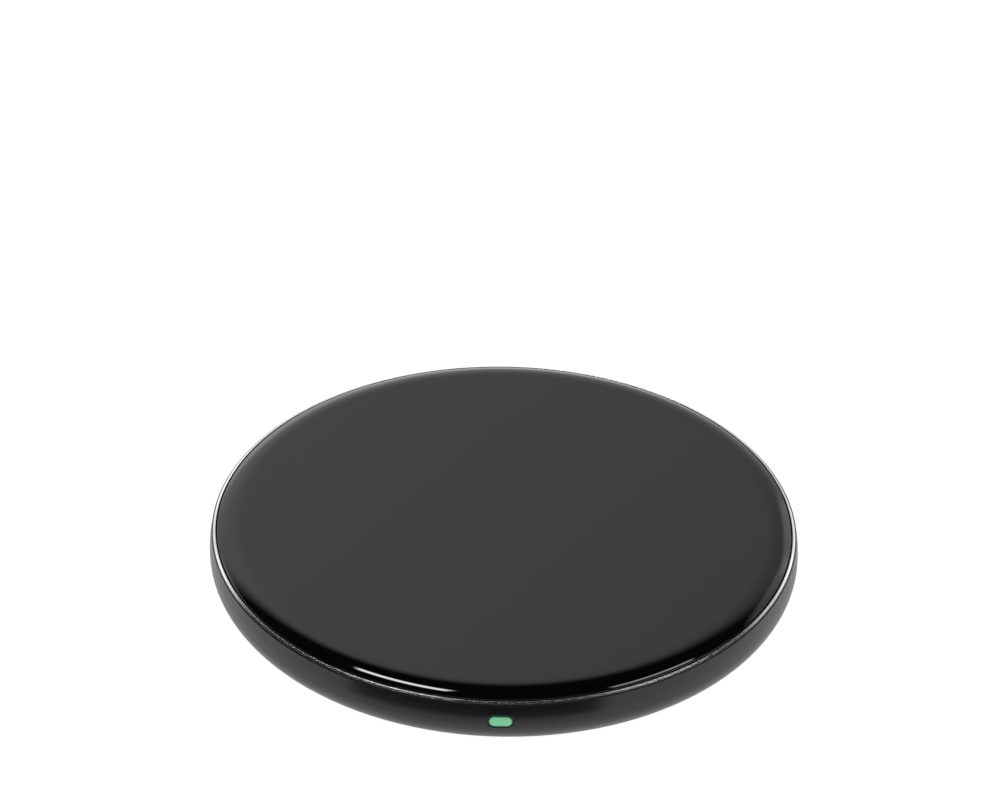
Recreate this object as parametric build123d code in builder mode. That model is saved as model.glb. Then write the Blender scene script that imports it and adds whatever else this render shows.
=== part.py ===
"""A round wireless charging pad, piece by piece, in millimetres.

The origin is the centre of the surface that the pad stands on. +Z is up, the status light faces -Y and
the USB-C socket faces +Y. From the table up: foot ring, bottom cover, circuit board, ferrite, coil,
deck, glass, with the casing and its bright ring round them.
"""

from build123d import *
import math
import os

os.makedirs("parts", exist_ok=True)

# ---------------------------------------------------------------- driving dimensions

# Casing: a barrel-shaped ring
pad_radius = 50.0            # at the belly
belly_height = 5.0           # of the belly above the casing's bottom edge
top_tumble = 0.42            # how far the side leans in from the belly to its top
foot_tumble = 5.4            # how far it curves in below the belly
lip_thickness = 0.68         # thin wall round the glass
ledge_width = 2.3            # shelf that carries the deck
flange_thickness = 1.0       # inward flange above the bottom cover
flange_width = 1.5           # what the cover bears on
bottom_land = 1.5            # flat bottom edge outside the cover
lip_overlap = 0.2            # lip above the underside of the glass
opening_fillet = 0.15        # rounded outer rim of the window slot and the port

# Trim ring
trim_height = 0.4
trim_flat = 0.08             # narrow flat next to the glass
trim_bevel_drop = 0.3        # fall of the polished bevel outside it

# Glass
glass_thickness = 1.6
glass_edge_drop = 0.95       # fall of the rounded edge
glass_edge_width = 3.35      # width of the rounded edge
glass_edge_fillet = 0.2

# Deck
deck_thickness = 0.95
boss_radius = 2.6
board_boss_radius = 1.9
rib_thickness = 1.0
rib_depth = 2.2

# Bottom cover and foot
cover_thickness = 1.6
cover_pad_radius = 3.2
cover_pad_height = 0.6
cover_rib_radius = 20.0
cover_rib_thickness = 1.2
foot_proud = 0.6             # foot below the cover
foot_groove_depth = 0.6
foot_width = 6.2
foot_fillet = 0.3
cover_chamfer = 0.25
panel_radius = 27.0          # shallow sunk panel in the middle of the underside
panel_depth = 0.2

# Screws
cover_screw_length = 5.0
cover_screw_radius = 0.9
cover_head_radius = 1.7
cover_head_height = 0.7
cover_screw_inset = 3.6      # screw circle inside the casing's flange
board_screw_length = 3.4
board_screw_radius = 0.75
board_head_radius = 1.35
board_head_height = 0.55
screw_clearance = 0.02
pilot_extra_depth = 0.4

# Circuit board
board_thickness = 1.0
under_board_gap = 1.6

# Coil, ferrite and tapes
coil_turns = 9
wire_diameter = 1.1
turn_gap = 0.075
coil_inner_radius = 10.3
ferrite_radius = 25.0
ferrite_thickness = 1.6
ferrite_hole_radius = 2.2
tape_thickness = 0.1
glass_tape_thickness = 0.15
glass_tape_inset = 1.15
coil_tape_margin = 0.25      # shift of both edges of the coil's tapes outwards from the coil's edges
lead_slot_width = 1.7
lead_bend_radius = 1.3
lead_slope = 60.0            # degrees, where a tail steps down to the board
inner_step_start = 0.85      # inner tail's level run before its step
outer_step_gap = 1.0         # outer tail's step, past the edge of the ferrite
inner_tail_reach = 2.6       # past the rib
outer_tail_reach = 2.8       # past the step
slot_overrun = 0.6           # slot past both ends of what it passes under
board_tape_inset = 0.5

# Temperature sensor in the middle of the coil
bead_radius = 0.9
bead_length = 2.0
bead_fillet = 0.5
bead_lead_radius = 0.13
bead_lead_spacing = 0.6

# Electronic parts: along the radius, across it, height
controller_size = (6.0, 6.0, 0.9)
transistor_size = (3.3, 3.3, 0.9)
regulator_size = (1.6, 2.9, 1.1)
inductor_size = (6.6, 6.4, 2.6)
resonant_capacitor_size = (4.5, 3.2, 2.0)
bulk_capacitor_size = (2.8, 3.5, 1.9)
small_capacitor_size = (1.6, 0.8, 0.8)
small_resistor_size = (1.0, 0.5, 0.35)
crystal_size = (2.5, 3.2, 0.8)
crystal_offset = 3.2         # outwards from the other parts' circle
inductor_fillet = 0.8
inductor_chamfer = 0.2
crystal_fillet = 0.3

# Solder
joint_size = (2.2, 1.8, 1.2)
joint_fillet = 0.5
joint_top_fillet = 0.35
tab_solder_width = 0.5

# USB-C socket, standard sizes, sunk into a notch in the board
usb_width = 8.94
usb_height = 3.16
usb_length = 7.35
usb_wall = 0.3
usb_rise = 0.8               # axis above the top of the board
usb_setback = 0.7            # mouth inside the belly
usb_tongue_width = 6.69
usb_tongue_thickness = 0.7
usb_tongue_length = 4.9
usb_block_length = 1.25
usb_contact_count = 12
usb_contact_pitch = 0.5
usb_contact_width = 0.25
usb_contact_length = 4.2
usb_contact_thickness = 0.05
usb_tab_length = 1.3
usb_tab_reach = 1.25
usb_tab_thickness = 0.3
usb_tab_overlap = 0.37       # over the round side of the shell
usb_tab_places = (0.9, 2.6)  # from the back of the shell
usb_tongue_chamfer = 0.12

# Status light
window_width = 3.9
window_height = 2.0
window_rise = 1.55           # centre above the top of the board
window_setback = 0.1         # back of the window inside the casing's wall
guide_width = 3.6
guide_height = 1.8
guide_length = 8.1
led_length = 1.6
led_width = 0.8
led_height = 0.6
led_pitch = 2.2
seal_width = 6.8
seal_depth = 3.6
seal_inset = 0.3             # inside the board's edge

# Clearances
glass_gap = 0.25
deck_gap = 0.15
cavity_gap = 1.2             # board to casing
cover_gap = 0.2
window_gap = 0.06
port_gap = 0.2
board_hole_gap = 0.4
tongue_gap = 0.03
rib_gap = 0.3
boss_gap = 1.3               # rib to the board's bosses
lead_gap = 0.25              # coil tails above the board
foot_gap = 0.1               # foot to the sides of its groove
cover_hole_gap = 0.2         # screws in the bottom cover

# ---------------------------------------------------------------- derived levels and radii

casing_base = foot_proud
cover_top = casing_base + cover_thickness
board_base = cover_top + under_board_gap
board_top = board_base + board_thickness
ferrite_base = board_top + tape_thickness
ferrite_top = ferrite_base + ferrite_thickness
coil_base = ferrite_top + tape_thickness
coil_middle = coil_base + wire_diameter / 2
coil_top = coil_base + wire_diameter
deck_base = coil_top + tape_thickness
deck_top = deck_base + deck_thickness
glass_base = deck_top + glass_tape_thickness
glass_top = glass_base + glass_thickness
casing_top = glass_base + lip_overlap
trim_top = casing_top + trim_height
belly_z = casing_base + belly_height
usb_z = board_top + usb_rise
window_z = board_top + window_rise

casing_top_radius = pad_radius - top_tumble
opening_rim_reach = pad_radius - lip_thickness
casing_foot_radius = pad_radius - foot_tumble
pocket_radius = casing_top_radius - lip_thickness
glass_radius = pocket_radius - glass_gap
deck_radius = pocket_radius - deck_gap
cavity_radius = pocket_radius - ledge_width
board_radius = cavity_radius - cavity_gap
rebate_radius = casing_foot_radius - bottom_land
cover_radius = rebate_radius - cover_gap
flange_radius = rebate_radius - flange_width
screw_circle = flange_radius - cover_screw_inset
coil_pitch = wire_diameter + turn_gap
rib_radius = ferrite_radius + rib_gap
board_boss_circle = rib_radius + rib_thickness + boss_gap + board_boss_radius
parts_circle = (rib_radius + rib_thickness + board_radius) / 2
coil_start = coil_inner_radius + wire_diameter / 2
coil_end = coil_start + coil_turns * coil_pitch
coil_outer_radius = coil_end + wire_diameter / 2
usb_mouth = pad_radius - usb_setback
usb_back = usb_mouth - usb_length
window_back = cavity_radius - window_setback
cover_boss_base = cover_top + cover_pad_height

# Planes that look out of the front and the rear of the pad
front = Plane.XZ
rear = Plane(origin=(0, 0, 0), x_dir=(-1, 0, 0), z_dir=(0, 1, 0))

cover_screw_places = PolarLocations(screw_circle, 4, start_angle=45)
board_screw_places = PolarLocations(board_boss_circle, 3, start_angle=20, angular_range=360)


def screw(seat, head_radius, head_height, shank_radius, shank_length):
    """A pan-head screw with a cross recess: head below the height of its seat, shank pointing up."""
    with BuildPart() as body:
        with BuildSketch(Plane.XY.offset(seat - head_height)):
            Circle(head_radius)
        extrude(amount=head_height)
        fillet(body.faces().sort_by(Axis.Z)[0].edges(), head_height * 0.35)
        with BuildSketch(Plane.XY.offset(seat)):
            Circle(shank_radius)
        extrude(amount=shank_length)
        chamfer(body.faces().sort_by(Axis.Z)[-1].edges(), shank_radius * 0.5)
        with BuildSketch(Plane.XY.offset(seat - head_height)):
            Rectangle(head_radius * 1.2, head_radius * 0.3)
            Rectangle(head_radius * 0.3, head_radius * 1.2)
        extrude(amount=head_height * 0.6, mode=Mode.SUBTRACT)
    return body.part


def chip(length, width, height, cap):
    """A two-terminal part standing on z = 0: a ceramic body between two slightly larger end caps."""
    with BuildPart() as body:
        with BuildSketch():
            Rectangle(length, width * 0.94)
        extrude(amount=height * 0.95)
        with BuildSketch():
            with Locations((length / 2 - cap / 2, 0), (cap / 2 - length / 2, 0)):
                Rectangle(cap, width)
        extrude(amount=height)
        top_edges = body.edges().filter_by(Axis.Y).group_by(Axis.Z)[-1].sort_by(Axis.X)
        fillet([top_edges[0], top_edges[-1]], height * 0.08)
    return body.part


def flat_package(length, width, height, foot):
    """A moulded chip package: a body with bevelled top edges on a thinner lead frame."""
    with BuildPart() as body:
        with BuildSketch():
            Rectangle(length, width)
        extrude(amount=foot)
        with BuildSketch(Plane.XY.offset(foot)):
            Rectangle(length - foot, width - foot)
        extrude(amount=height - foot)
        chamfer(body.faces().sort_by(Axis.Z)[-1].edges(), height * 0.15)
        with BuildSketch(Plane.XY.offset(height)):
            with Locations((foot * 2.5 - length / 2, width / 2 - foot * 2.5)):
                Circle(foot * 0.6)
        extrude(amount=-height * 0.06, mode=Mode.SUBTRACT)
    return body.part


def ring_places(*angles, radius=parts_circle):
    """Places on a circle round the ferrite, each turned to face outwards, on top of the board."""
    return Locations(*[
        Location((0, 0, board_top), (0, 0, angle)) * Location((radius, 0, 0))
        for angle in angles
    ])


# ---------------------------------------------------------------- casing

with BuildPart() as barrel:
    with BuildSketch(Plane.XZ):
        with BuildLine():
            Polyline((0, casing_top), (0, casing_base), (casing_foot_radius, casing_base))
            EllipticalCenterArc(
                (casing_foot_radius, belly_z), foot_tumble, belly_height, start_angle=270, arc_size=90
            )
            shoulder = TangentArc((pad_radius, belly_z), (casing_top_radius, casing_top), tangent=(0, 1))
            Line(shoulder @ 1, (0, casing_top))
        make_face()
    revolve(axis=Axis.Z)

with BuildPart() as casing_ring:
    add(barrel.part)
    # Pocket for the deck and the glass, cavity, flange hole and cover rebate, from the top down
    with BuildSketch(Plane.XY.offset(deck_base)):
        Circle(pocket_radius)
    extrude(amount=casing_top - deck_base, mode=Mode.SUBTRACT)
    with BuildSketch(Plane.XY.offset(cover_top + flange_thickness)):
        Circle(cavity_radius)
    extrude(amount=deck_base - cover_top - flange_thickness, mode=Mode.SUBTRACT)
    with BuildSketch(Plane.XY.offset(cover_top)):
        Circle(flange_radius)
    extrude(amount=flange_thickness, mode=Mode.SUBTRACT)
    with BuildSketch(Plane.XY.offset(casing_base)):
        Circle(rebate_radius)
    extrude(amount=cover_thickness, mode=Mode.SUBTRACT)
    # Slot for the light window, through the front wall
    with BuildSketch(front.offset(cavity_radius - 1)):
        with Locations((0, window_z)):
            SlotOverall(window_width + 2 * window_gap, window_height + 2 * window_gap)
    extrude(amount=pad_radius - cavity_radius + 2, mode=Mode.SUBTRACT)
    window_edges = casing_ring.edges(Select.LAST)
    # Port for the socket, through the rear wall
    with BuildSketch(rear.offset(cavity_radius - 1)):
        with Locations((0, usb_z)):
            SlotOverall(usb_width + 2 * port_gap, usb_height + 2 * port_gap)
    extrude(amount=pad_radius - cavity_radius + 2, mode=Mode.SUBTRACT)
    port_edges = casing_ring.edges(Select.LAST)
    fillet(
        [edge for edge in window_edges + port_edges if abs(edge.center().Y) > opening_rim_reach],
        opening_fillet,
    )
casing_ring.part.label = "casing_ring"
export_step(casing_ring.part, "parts/casing_ring.step")

with BuildPart() as trim_ring:
    with BuildSketch(Plane.XZ):
        with BuildLine():
            Polyline(
                (pocket_radius, casing_top),
                (casing_top_radius, casing_top),
                (casing_top_radius, trim_top - trim_bevel_drop),
                (pocket_radius + trim_flat, trim_top),
                (pocket_radius, trim_top),
                close=True,
            )
        make_face()
    revolve(axis=Axis.Z)
trim_ring.part.label = "trim_ring"
export_step(trim_ring.part, "parts/trim_ring.step")

# The window's outer face follows the barrel
with BuildPart() as led_window:
    with BuildSketch(front.offset(window_back)):
        with Locations((0, window_z)):
            SlotOverall(window_width, window_height)
    extrude(amount=pad_radius - window_back + 1)
    add(barrel.part, mode=Mode.INTERSECT)
led_window.part.label = "led_window"
export_step(led_window.part, "parts/led_window.step")

# ---------------------------------------------------------------- glass and deck

with BuildPart() as top_glass:
    glass_flat_radius = glass_radius - glass_edge_width
    glass_edge_z = glass_top - glass_edge_drop
    with BuildSketch(Plane.XZ):
        with BuildLine():
            crown = TangentArc((glass_flat_radius, glass_top), (glass_radius, glass_edge_z), tangent=(1, 0))
            Polyline(crown @ 1, (glass_radius, glass_base), (0, glass_base), (0, glass_top), crown @ 0)
        make_face()
    revolve(axis=Axis.Z)
    rim_edges = top_glass.edges().filter_by(GeomType.CIRCLE).filter_by(
        lambda edge: abs(edge.radius - glass_radius) < 0.001
    )
    fillet(rim_edges, glass_edge_fillet)
top_glass.part.label = "top_glass"
export_step(top_glass.part, "parts/top_glass.step")

with BuildPart() as glass_adhesive:
    with BuildSketch(Plane.XY.offset(deck_top)):
        Circle(deck_radius - glass_tape_inset)
    extrude(amount=glass_tape_thickness)
glass_adhesive.part.label = "glass_adhesive"
export_step(glass_adhesive.part, "parts/glass_adhesive.step")

lead_slot_end = ferrite_radius + rib_thickness + 2 * rib_gap

with BuildPart() as top_deck:
    with BuildSketch(Plane.XY.offset(deck_base)):
        Circle(deck_radius)
    extrude(amount=deck_thickness)
    # Rib that keeps the ferrite central, open where the coil's tails pass
    with BuildSketch(Plane.XY.offset(deck_base)):
        Circle(rib_radius + rib_thickness)
        Circle(rib_radius, mode=Mode.SUBTRACT)
        with Locations((coil_start, -lead_slot_end), (coil_end, lead_slot_end / 2)):
            Rectangle(2 * lead_slot_width, lead_slot_end, mode=Mode.SUBTRACT)
    extrude(amount=-rib_depth)
    # Bosses for the cover screws and the board screws
    with BuildSketch(Plane.XY.offset(deck_base)):
        with cover_screw_places:
            Circle(boss_radius)
    extrude(amount=cover_boss_base - deck_base)
    with BuildSketch(Plane.XY.offset(deck_base)):
        with board_screw_places:
            Circle(board_boss_radius)
    extrude(amount=board_top - deck_base)
    with BuildSketch(Plane.XY.offset(cover_boss_base)):
        with cover_screw_places:
            Circle(cover_screw_radius + screw_clearance)
    extrude(amount=cover_screw_length, mode=Mode.SUBTRACT)
    with BuildSketch(Plane.XY.offset(board_top)):
        with board_screw_places:
            Circle(board_screw_radius + screw_clearance)
    extrude(amount=board_screw_length - board_thickness + pilot_extra_depth, mode=Mode.SUBTRACT)
top_deck.part.label = "top_deck"
export_step(top_deck.part, "parts/top_deck.step")

# ---------------------------------------------------------------- coil and ferrite

# A flat spiral of half turns: the upper halves are centred on the origin, the lower halves half a pitch
# to the side, so each half turn meets the next one in line
with BuildPart() as transmitter_coil:
    with BuildLine(Plane.XY.offset(coil_middle)) as winding:
        for turn in range(coil_turns):
            upper_radius = coil_start + turn * coil_pitch
            CenterArc((0, 0), upper_radius, 0, 180)
            CenterArc((coil_pitch / 2, 0), upper_radius + coil_pitch / 2, 180, 180)
    with BuildSketch(Plane(origin=(coil_start, 0, coil_middle), z_dir=(0, 1, 0))):
        Circle(wire_diameter / 2)
    sweep(path=winding.wire())
transmitter_coil.part.label = "transmitter_coil"
export_step(transmitter_coil.part, "parts/transmitter_coil.step")

# Both tails step down off the coil beside the board's pads: the inner one runs out under the turns
lead_drop = coil_middle - (board_top + lead_gap + wire_diameter / 2)
lead_step = lead_drop / math.tan(math.radians(lead_slope))
inner_tail = ferrite_radius + rib_thickness + inner_tail_reach
ferrite_edge = math.sqrt(ferrite_radius ** 2 - (coil_end - lead_slot_width / 2) ** 2)
outer_step_start = ferrite_edge + outer_step_gap
outer_tail = outer_step_start + lead_step + outer_tail_reach


def tail(start, direction, step_start, length):
    """A coil tail in the upright plane through start: level, a step down, then level to its end."""
    sideways = Vector(*direction).cross(Vector(0, 0, 1))
    with BuildPart() as lead:
        with BuildLine(Plane(origin=start, x_dir=direction, z_dir=sideways)) as route:
            FilletPolyline(
                (0, 0),
                (step_start, 0),
                (step_start + lead_step, -lead_drop),
                (length, -lead_drop),
                radius=lead_bend_radius,
            )
        with BuildSketch(Plane(origin=start, z_dir=direction)):
            Circle(wire_diameter / 2)
        sweep(path=route.wire())
    return lead.part


inner_lead = tail((coil_start, 0, coil_middle), (0, -1, 0), inner_step_start, inner_tail)
outer_lead = tail((coil_end, 0, coil_middle), (0, 1, 0), outer_step_start, outer_tail)
with BuildPart() as coil_leads:
    add(inner_lead)
    add(outer_lead)
coil_leads.part.label = "coil_leads"
export_step(coil_leads.part, "parts/coil_leads.step")

with BuildPart() as deck_tape:
    with BuildSketch(Plane.XY.offset(coil_top)):
        Circle(coil_outer_radius + coil_tape_margin)
        Circle(coil_inner_radius + coil_tape_margin, mode=Mode.SUBTRACT)
    extrude(amount=tape_thickness)
deck_tape.part.label = "deck_tape"
export_step(deck_tape.part, "parts/deck_tape.step")

# The slot lets the inner tail pass under the turns
slot_length = ferrite_radius + slot_overrun
slot_place = (coil_start, slot_overrun - slot_length / 2)

with BuildPart() as coil_tape:
    with BuildSketch(Plane.XY.offset(ferrite_top)):
        Circle(coil_outer_radius + coil_tape_margin)
        Circle(coil_inner_radius + coil_tape_margin, mode=Mode.SUBTRACT)
        with Locations(slot_place):
            Rectangle(lead_slot_width, slot_length, mode=Mode.SUBTRACT)
    extrude(amount=tape_thickness)
coil_tape.part.label = "coil_tape"
export_step(coil_tape.part, "parts/coil_tape.step")

with BuildPart() as ferrite_plate:
    with BuildSketch(Plane.XY.offset(ferrite_base)):
        Circle(ferrite_radius)
        Circle(ferrite_hole_radius, mode=Mode.SUBTRACT)
        with Locations(slot_place):
            Rectangle(lead_slot_width, slot_length, mode=Mode.SUBTRACT)
    extrude(amount=ferrite_thickness)
ferrite_plate.part.label = "ferrite_plate"
export_step(ferrite_plate.part, "parts/ferrite_plate.step")

with BuildPart() as board_tape:
    with BuildSketch(Plane.XY.offset(board_top)):
        Circle(ferrite_radius - board_tape_inset)
        Circle(ferrite_hole_radius, mode=Mode.SUBTRACT)
    extrude(amount=tape_thickness)
board_tape.part.label = "board_tape"
export_step(board_tape.part, "parts/board_tape.step")

with BuildPart() as thermistor:
    with BuildSketch(Plane.XY.offset(deck_base)):
        Circle(bead_radius)
    extrude(amount=-bead_length)
    fillet(thermistor.edges().filter_by(GeomType.CIRCLE), bead_fillet)
thermistor.part.label = "thermistor"
export_step(thermistor.part, "parts/thermistor.step")

with BuildPart() as thermistor_leads:
    with BuildSketch(Plane.XY.offset(board_top)):
        with Locations((-bead_lead_spacing / 2, 0), (bead_lead_spacing / 2, 0)):
            Circle(bead_lead_radius)
    extrude(amount=deck_base - bead_length - board_top)
thermistor_leads.part.label = "thermistor_leads"
export_step(thermistor_leads.part, "parts/thermistor_leads.step")

# ---------------------------------------------------------------- circuit board

with BuildPart() as circuit_board:
    with BuildSketch(Plane.XY.offset(board_base)):
        Circle(board_radius)
        with cover_screw_places:
            Circle(boss_radius + board_hole_gap, mode=Mode.SUBTRACT)
        with board_screw_places:
            Circle(board_screw_radius + board_hole_gap / 2, mode=Mode.SUBTRACT)
        # Notch that the socket sinks into
        with Locations((0, usb_back - port_gap + usb_length / 2)):
            Rectangle(usb_width + 2 * port_gap, usb_length, mode=Mode.SUBTRACT)
    extrude(amount=board_thickness)
circuit_board.part.label = "circuit_board"
export_step(circuit_board.part, "parts/circuit_board.step")

board_screw = screw(
    board_base, board_head_radius, board_head_height, board_screw_radius, board_screw_length
)
with BuildPart() as board_screws:
    with board_screw_places:
        add(board_screw)
board_screws.part.label = "board_screws"
export_step(board_screws.part, "parts/board_screws.step")

controller_package = flat_package(*controller_size, 0.2)
with BuildPart() as controller_chip:
    with ring_places(65):
        add(controller_package)
controller_chip.part.label = "controller_chip"
export_step(controller_chip.part, "parts/controller_chip.step")

transistor_package = flat_package(*transistor_size, 0.2)
with BuildPart() as bridge_transistors:
    with ring_places(84.5, 95.5):
        add(transistor_package)
bridge_transistors.part.label = "bridge_transistors"
export_step(bridge_transistors.part, "parts/bridge_transistors.step")

regulator_package = flat_package(*regulator_size, 0.15)
with BuildPart() as regulator_chip:
    with ring_places(180):
        add(regulator_package)
regulator_chip.part.label = "regulator_chip"
export_step(regulator_chip.part, "parts/regulator_chip.step")

# Moulded square inductor with its two terminals folded under the ends
with BuildPart() as power_inductor:
    with ring_places(115):
        Box(*inductor_size, align=(Align.CENTER, Align.CENTER, Align.MIN))
    fillet(power_inductor.edges().filter_by(Axis.Z), inductor_fillet)
    chamfer(power_inductor.faces().sort_by(Axis.Z)[-1].edges(), inductor_chamfer)
power_inductor.part.label = "power_inductor"
export_step(power_inductor.part, "parts/power_inductor.step")

resonant_capacitor = chip(*resonant_capacitor_size, 0.6)
with BuildPart() as resonant_capacitors:
    with ring_places(-12, -4, 4, 12):
        add(resonant_capacitor)
resonant_capacitors.part.label = "resonant_capacitors"
export_step(resonant_capacitors.part, "parts/resonant_capacitors.step")

bulk_capacitor = chip(*bulk_capacitor_size, 0.5)
with BuildPart() as bulk_capacitors:
    with ring_places(75.5, 104.5):
        add(bulk_capacitor)
bulk_capacitors.part.label = "bulk_capacitors"
export_step(bulk_capacitors.part, "parts/bulk_capacitors.step")

small_capacitor = chip(*small_capacitor_size, 0.3)
with BuildPart() as chip_capacitors:
    with ring_places(50, 54, 122, 170, 174, 186, 190, 194):
        add(small_capacitor)
chip_capacitors.part.label = "chip_capacitors"
export_step(chip_capacitors.part, "parts/chip_capacitors.step")

small_resistor = chip(*small_resistor_size, 0.2)
with BuildPart() as chip_resistors:
    with ring_places(146, 149, 152, 206, 209, 212, 330, 333, 336):
        add(small_resistor)
chip_resistors.part.label = "chip_resistors"
export_step(chip_resistors.part, "parts/chip_resistors.step")

with BuildPart() as crystal:
    with ring_places(57.5, radius=parts_circle + crystal_offset):
        Box(*crystal_size, align=(Align.CENTER, Align.CENTER, Align.MIN))
    fillet(crystal.edges().filter_by(Axis.Z), crystal_fillet)
crystal.part.label = "crystal"
export_step(crystal.part, "parts/crystal.step")

# ---------------------------------------------------------------- USB-C socket

with BuildPart() as usb_shell:
    with BuildSketch(rear.offset(usb_back)):
        with Locations((0, usb_z)):
            SlotOverall(usb_width, usb_height)
            SlotOverall(usb_width - 2 * usb_wall, usb_height - 2 * usb_wall, mode=Mode.SUBTRACT)
    extrude(amount=usb_length)
    # Four tabs that lie on the board beside the notch
    tab_middle = usb_width / 2 - usb_tab_overlap + usb_tab_reach / 2
    with Locations(
        *[(side * tab_middle, usb_back + place, board_top) for side in (-1, 1) for place in usb_tab_places]
    ):
        Box(usb_tab_reach, usb_tab_length, usb_tab_thickness, align=(Align.CENTER, Align.CENTER, Align.MIN))
usb_shell.part.label = "usb_shell"
export_step(usb_shell.part, "parts/usb_shell.step")

with BuildPart() as usb_tongue:
    with BuildSketch(rear.offset(usb_back)):
        with Locations((0, usb_z)):
            SlotOverall(
                usb_width - 2 * usb_wall - 2 * tongue_gap, usb_height - 2 * usb_wall - 2 * tongue_gap
            )
    extrude(amount=usb_block_length)
    with BuildSketch(rear.offset(usb_back + usb_block_length)):
        with Locations((0, usb_z)):
            Rectangle(usb_tongue_width, usb_tongue_thickness)
    extrude(amount=usb_tongue_length)
    chamfer(usb_tongue.faces().sort_by(Axis.Y)[-1].edges(), usb_tongue_chamfer)
usb_tongue.part.label = "usb_tongue"
export_step(usb_tongue.part, "parts/usb_tongue.step")

contact_span = (usb_contact_count - 1) * usb_contact_pitch
contact_height = usb_tongue_thickness / 2 + usb_contact_thickness / 2
contact_middle = usb_back + usb_block_length + usb_contact_length / 2
with BuildPart() as usb_contacts:
    for side in (-1, 1):
        with Locations((0, contact_middle, usb_z + side * contact_height)):
            with GridLocations(usb_contact_pitch, 1, usb_contact_count, 1):
                Box(usb_contact_width, usb_contact_length, usb_contact_thickness)
usb_contacts.part.label = "usb_contacts"
export_step(usb_contacts.part, "parts/usb_contacts.step")

# ---------------------------------------------------------------- solder

with BuildPart() as solder_joints:
    half_joint = joint_size[1] / 2
    with Locations(
        (coil_start, -inner_tail - half_joint, board_top), (coil_end, outer_tail + half_joint, board_top)
    ):
        Box(*joint_size, align=(Align.CENTER, Align.CENTER, Align.MIN))
    fillet(solder_joints.edges().filter_by(Axis.Z), joint_fillet)
    fillet(solder_joints.faces().filter_by(Axis.Z).group_by(Axis.Z)[-1].edges(), joint_top_fillet)
    # Solder at the ends of the socket's tabs
    solder_middle = tab_middle + usb_tab_reach / 2 + tab_solder_width / 2
    with Locations(
        *[(side * solder_middle, usb_back + place, board_top) for side in (-1, 1) for place in usb_tab_places]
    ):
        Box(
            tab_solder_width,
            usb_tab_length,
            usb_tab_thickness,
            align=(Align.CENTER, Align.CENTER, Align.MIN),
        )
solder_joints.part.label = "solder_joints"
export_step(solder_joints.part, "parts/solder_joints.step")

# ---------------------------------------------------------------- status light

guide_back = window_back - guide_length
guide_bottom = window_z - guide_height / 2

with BuildPart() as light_guide:
    with BuildSketch(Plane.YZ.offset(-guide_width / 2)):
        with BuildLine():
            # The 45 degree slope over the LEDs turns their light towards the window
            Polyline(
                (-window_back, guide_bottom),
                (-guide_back, guide_bottom),
                (-guide_back - guide_height, guide_bottom + guide_height),
                (-window_back, guide_bottom + guide_height),
                close=True,
            )
        make_face()
    extrude(amount=guide_width)
light_guide.part.label = "light_guide"
export_step(light_guide.part, "parts/light_guide.step")

with BuildPart() as light_seal:
    with BuildSketch(front.offset(board_radius - seal_inset - seal_depth)):
        with Locations((0, (board_top + deck_base) / 2)):
            Rectangle(seal_width, deck_base - board_top)
        with Locations((0, window_z)):
            Rectangle(guide_width, guide_height, mode=Mode.SUBTRACT)
    extrude(amount=seal_depth)
light_seal.part.label = "light_seal"
export_step(light_seal.part, "parts/light_seal.step")

led_y = -guide_back - guide_height / 2
with BuildPart() as charge_leds:
    with Locations((-led_pitch / 2, led_y, board_top), (led_pitch / 2, led_y, board_top)):
        Box(led_length, led_width, led_height / 2, align=(Align.CENTER, Align.CENTER, Align.MIN))
        Box(led_length * 0.7, led_width, led_height, align=(Align.CENTER, Align.CENTER, Align.MIN))
charge_leds.part.label = "charge_leds"
export_step(charge_leds.part, "parts/charge_leds.step")

# ---------------------------------------------------------------- bottom cover and foot

groove_half_width = foot_width / 2 + foot_gap
groove_top = casing_base + foot_groove_depth

with BuildPart() as bottom_cover:
    with BuildSketch(Plane.XY.offset(casing_base)):
        Circle(cover_radius)
    extrude(amount=cover_thickness)
    chamfer(bottom_cover.faces().sort_by(Axis.Z)[0].edges(), cover_chamfer)
    # Pads that meet the deck's bosses, and the rib that backs the board
    with BuildSketch(Plane.XY.offset(cover_top)):
        with cover_screw_places:
            Circle(cover_pad_radius)
    extrude(amount=cover_pad_height)
    with BuildSketch(Plane.XY.offset(cover_top)):
        Circle(cover_rib_radius + cover_rib_thickness)
        Circle(cover_rib_radius, mode=Mode.SUBTRACT)
    extrude(amount=under_board_gap)
    # Groove for the foot, and the sunk panel inside it
    with BuildSketch(Plane.XY.offset(casing_base)):
        Circle(screw_circle + groove_half_width)
        Circle(screw_circle - groove_half_width, mode=Mode.SUBTRACT)
    extrude(amount=foot_groove_depth, mode=Mode.SUBTRACT)
    with BuildSketch(Plane.XY.offset(casing_base)):
        Circle(panel_radius)
    extrude(amount=panel_depth, mode=Mode.SUBTRACT)
    # Counterbores, then clearance holes for the shanks
    with BuildSketch(Plane.XY.offset(groove_top)):
        with cover_screw_places:
            Circle(cover_head_radius + cover_hole_gap)
    extrude(amount=cover_head_height, mode=Mode.SUBTRACT)
    with BuildSketch(Plane.XY.offset(groove_top)):
        with cover_screw_places:
            Circle(cover_screw_radius + cover_hole_gap)
    extrude(amount=cover_boss_base - groove_top, mode=Mode.SUBTRACT)
bottom_cover.part.label = "bottom_cover"
export_step(bottom_cover.part, "parts/bottom_cover.step")

cover_screw = screw(
    groove_top + cover_head_height,
    cover_head_radius,
    cover_head_height,
    cover_screw_radius,
    cover_screw_length,
)
with BuildPart() as cover_screws:
    with cover_screw_places:
        add(cover_screw)
cover_screws.part.label = "cover_screws"
export_step(cover_screws.part, "parts/cover_screws.step")

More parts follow.
